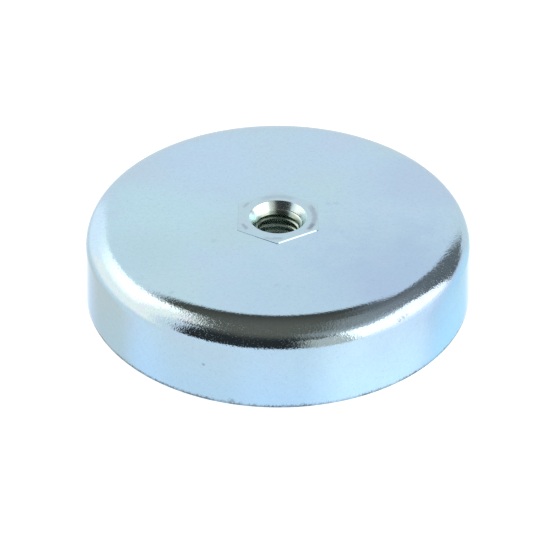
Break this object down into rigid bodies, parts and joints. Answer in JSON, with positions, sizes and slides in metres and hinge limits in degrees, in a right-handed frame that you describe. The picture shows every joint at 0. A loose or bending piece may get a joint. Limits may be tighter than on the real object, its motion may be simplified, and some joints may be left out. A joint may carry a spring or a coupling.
{
  "type": "pot magnet",
  "caption": "Shallow round pot magnet: plated steel pot with a rounded shoulder, ferrite ring inside and a threaded hexagonal bush through the plate.",
  "frame": {"origin": "centre of the holding face, in the plane of the pot's rim", "axes": "+Z along the threaded bore, out of its mouth; the bush's hexagon has flats towards +X and -X"},
  "size_m": [0.08, 0.08, 0.0181],
  "materials": {
    "plated_pot": "bright zinc plate with a clear blue passivation",
    "plated_bush": "bright zinc plate with a clear blue passivation",
    "ferrite": "ground sintered ferrite",
    "resin": "cured casting resin"
  },
  "bodies": {
    "root": {"steel_cup": "plated_pot", "hex_bush": "plated_bush", "ferrite_ring": "ferrite", "resin_fill": "resin"}
  },
  "joints": []
}
